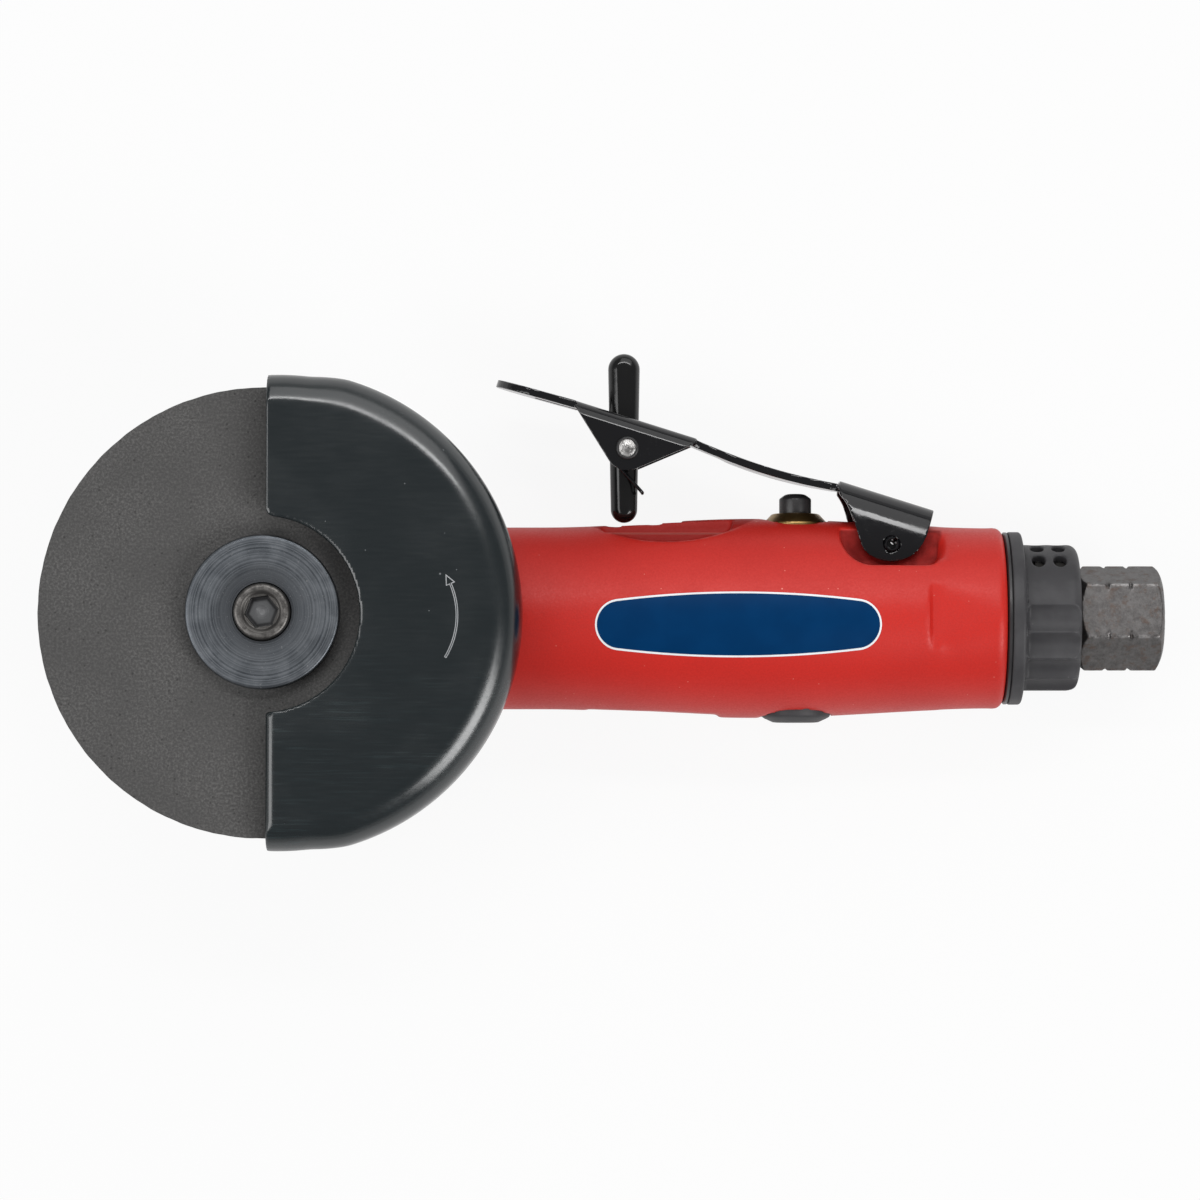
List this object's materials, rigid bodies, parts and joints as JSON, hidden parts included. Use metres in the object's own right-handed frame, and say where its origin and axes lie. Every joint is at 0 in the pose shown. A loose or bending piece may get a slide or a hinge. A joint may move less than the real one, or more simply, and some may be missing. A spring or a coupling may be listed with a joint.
{
  "type": "pneumatic cut off tool",
  "caption": "Right angle air cut off tool: half guarded cutting disc on a bevel geared head, round motor housing, throttle lever with lock-off tab, rear exhaust and hexagon air inlet.",
  "frame": {"origin": "on the spindle's axis, at the flat back of the angle head, on the surface the tool lies on", "axes": "+X along the motor from the spindle to the air inlet, +Y to the throttle lever, +Z out of the disc's face"},
  "size_m": [0.1935, 0.0871, 0.0485],
  "materials": {
    "red_composite": "satin moulded composite with fine specks",
    "cast_alloy": "bead blasted die casting",
    "guard_black": "satin blue-black coated sheet",
    "bonded_abrasive": "dark grit in resin",
    "oxide_steel": "turned and blackened",
    "ground_steel": "ground",
    "plate_alloy": "machined",
    "turned_brass": "turned",
    "gloss_black_steel": "gloss black coated sheet",
    "gloss_black_plastic": "gloss black moulding",
    "stem_black": "black coated rod",
    "grey_plastic": "dark grey moulding",
    "raw_steel": "bare turned steel with a brown tinge",
    "seal_rubber": "matt",
    "felt": "pressed felt",
    "vane_resin": "fibre resin laminate",
    "label_navy": "printed film label",
    "label_white": "printed line",
    "mark_grey": "etched direction arrow"
  },
  "bodies": {
    "housing": {"motor_housing": "red_composite", "angle_head": "cast_alloy", "head_o_ring": "seal_rubber", "pinion_clip": "ground_steel", "bearing_retainer": "ground_steel", "guard_lock_ring": "ground_steel", "spindle_front_outer_race": "ground_steel", "spindle_rear_outer_race": "ground_steel", "pinion_outer_race": "ground_steel", "cylinder_liner": "ground_steel", "front_end_plate": "plate_alloy", "rear_end_plate": "plate_alloy", "rotor_front_outer_race": "ground_steel", "rotor_rear_outer_race": "ground_steel", "motor_dowel": "ground_steel", "motor_gasket": "seal_rubber", "valve_bush": "turned_brass", "valve_spring": "ground_steel", "regulator_clip": "ground_steel", "lever_pin": "ground_steel", "inlet_bushing": "raw_steel", "inlet_o_ring": "seal_rubber", "inlet_screen": "turned_brass"},
    "spindle_set": {"spindle": "ground_steel", "gear_key": "ground_steel", "bevel_gear": "ground_steel", "spindle_front_inner_race": "ground_steel", "spindle_front_balls": "ground_steel", "spindle_rear_inner_race": "ground_steel", "spindle_rear_balls": "ground_steel", "inner_flange": "ground_steel", "cutting_disc": "bonded_abrasive", "outer_flange": "oxide_steel", "disc_screw": "oxide_steel"},
    "rotor_set": {"rotor": "ground_steel", "rotor_vanes": "vane_resin", "bevel_pinion": "ground_steel", "pinion_inner_race": "ground_steel", "pinion_balls": "ground_steel", "rotor_front_inner_race": "ground_steel", "rotor_front_balls": "ground_steel", "rotor_rear_inner_race": "ground_steel", "rotor_rear_balls": "ground_steel"},
    "guard_cover": {"guard": "guard_black"},
    "lever": {"throttle_lever": "gloss_black_steel", "lock_pin": "ground_steel", "lock_spring": "ground_steel"},
    "lock_off": {"lock_tab": "gloss_black_plastic"},
    "valve": {"valve_stem": "stem_black", "valve_head": "seal_rubber"},
    "regulator": {"regulator_dial": "grey_plastic", "regulator_o_ring": "seal_rubber"},
    "deflector": {"exhaust_deflector": "grey_plastic", "exhaust_felt": "felt"}
  },
  "joints": [
    {"name": "disc_spin", "type": "hinge", "parent": "housing", "child": "spindle_set", "pos_m": [0, 0, 0.0173], "axis": [0, 0, 1], "continuous": true},
    {"name": "rotor_spin", "type": "hinge", "parent": "housing", "child": "rotor_set", "pos_m": [0, 0, 0.0173], "axis": [1, 0, 0], "continuous": true},
    {"name": "guard_swivel", "type": "hinge", "parent": "housing", "child": "guard_cover", "pos_m": [0, 0, 0.0173], "axis": [0, 0, 1], "range_deg": [-90, 90]},
    {"name": "lever_press", "type": "hinge", "parent": "housing", "child": "lever", "pos_m": [0.107, 0.0125, 0.0173], "axis": [0, 0, 1], "range_deg": [0, 12], "stiffness_Nm_per_rad": 0.3},
    {"name": "lock_off_swing", "type": "hinge", "parent": "lever", "child": "lock_off", "pos_m": [0.06147, 0.02906, 0.0173], "axis": [0, 0, 1], "range_deg": [0, 60], "deforming": ["lock_spring"]},
    {"name": "valve_stroke", "type": "slide", "parent": "housing", "child": "valve", "axis": [0, -1, 0], "range_m": [0, 0.0024], "deforming": ["valve_spring"]},
    {"name": "regulator_turn", "type": "hinge", "parent": "housing", "child": "regulator", "pos_m": [0.0907, 0, 0.0173], "axis": [0, 1, 0], "range_deg": [-90, 90]},
    {"name": "deflector_turn", "type": "hinge", "parent": "housing", "child": "deflector", "pos_m": [0.13, 0, 0.0173], "axis": [1, 0, 0], "continuous": true}
  ],
  "couplings": [
    {"joint": "rotor_spin", "follows": "disc_spin", "ratio": -1.2308},
    {"joint": "lock_off_swing", "follows": "lever_press", "ratio": 5},
    {"joint": "valve_stroke", "follows": "lever_press", "m_per_rad": 0.011459}
  ]
}
